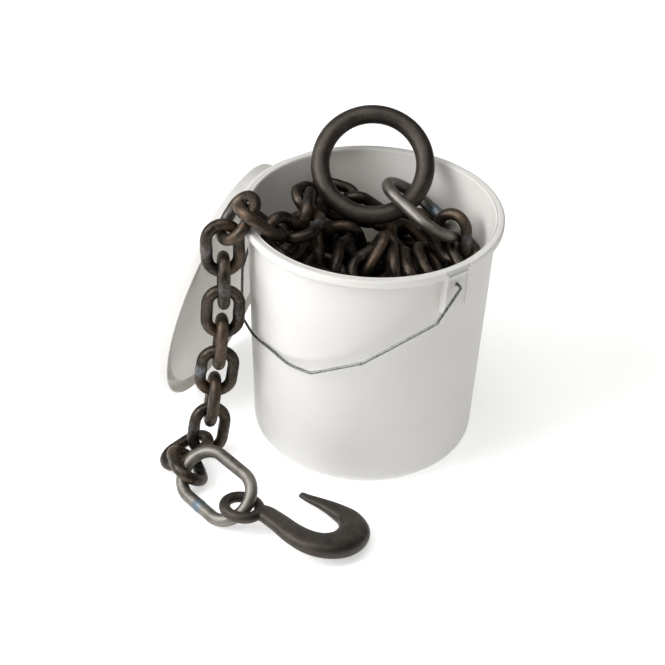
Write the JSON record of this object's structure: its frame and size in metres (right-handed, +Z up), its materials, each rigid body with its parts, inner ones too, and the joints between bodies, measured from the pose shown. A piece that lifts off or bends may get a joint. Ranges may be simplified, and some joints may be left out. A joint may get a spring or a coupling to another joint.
{
  "type": "heap of steel chain",
  "caption": "Heap of welded steel lifting chain in a plastic pail, with a ring on top and a hook end hanging over the rim to the floor.",
  "frame": {"origin": "middle of the pail's base, on the floor", "axes": "+Z up; X along the hinge axis of the pail's wire bail; the draped chain, the hook and the bail's low side lie towards -Y"},
  "size_m": [0.4181, 0.3898, 0.3345],
  "materials": {
    "dark_steel": "dark, slightly rusted",
    "bright_steel": "satin",
    "forged_steel": "forged, satin",
    "white_plastic": "satin",
    "zinc_wire": "bright"
  },
  "bodies": {
    "heap_and_pail": {"back_link_01": "dark_steel", "back_link_02": "dark_steel", "back_link_03": "dark_steel", "back_link_04": "dark_steel", "floor_link_1": "dark_steel", "floor_link_2": "dark_steel", "front_link_01": "dark_steel", "front_link_02": "dark_steel", "front_link_03": "dark_steel", "front_link_04": "dark_steel", "front_link_05": "dark_steel", "front_link_06": "dark_steel", "hanging_link_01": "dark_steel", "hanging_link_02": "dark_steel", "hanging_link_03": "dark_steel", "hanging_link_04": "dark_steel", "hanging_link_05": "dark_steel", "hanging_link_06": "dark_steel", "hanging_link_07": "dark_steel", "heap_core": "dark_steel", "heap_link_01": "dark_steel", "heap_link_02": "dark_steel", "heap_link_03": "dark_steel", "heap_link_04": "dark_steel", "heap_link_05": "dark_steel", "heap_link_06": "dark_steel", "heap_link_07": "dark_steel", "heap_link_08": "dark_steel", "heap_link_09": "dark_steel", "heap_link_10": "dark_steel", "heap_link_11": "dark_steel", "heap_link_12": "dark_steel", "heap_link_13": "dark_steel", "heap_link_14": "dark_steel", "heap_link_15": "dark_steel", "hook": "forged_steel", "hook_coupling_link": "bright_steel", "left_link_01": "dark_steel", "left_link_02": "dark_steel", "left_link_03": "dark_steel", "left_link_04": "dark_steel", "left_link_05": "dark_steel", "lid": "white_plastic", "middle_link_01": "dark_steel", "middle_link_02": "dark_steel", "middle_link_03": "dark_steel", "middle_link_04": "dark_steel", "pail": "white_plastic", "right_link_1": "dark_steel", "right_link_2": "dark_steel", "rim_link_inner": "dark_steel", "rim_link_middle": "dark_steel", "rim_link_outer": "dark_steel", "ring": "forged_steel", "ring_coupling_link": "bright_steel"},
    "bail": {"bail": "zinc_wire"}
  },
  "joints": [
    {"name": "bail_hinge", "type": "hinge", "parent": "heap_and_pail", "child": "bail", "pos_m": [0, 0, 0.26], "axis": [-1, 0, 0], "range_deg": [0, 5]}
  ]
}
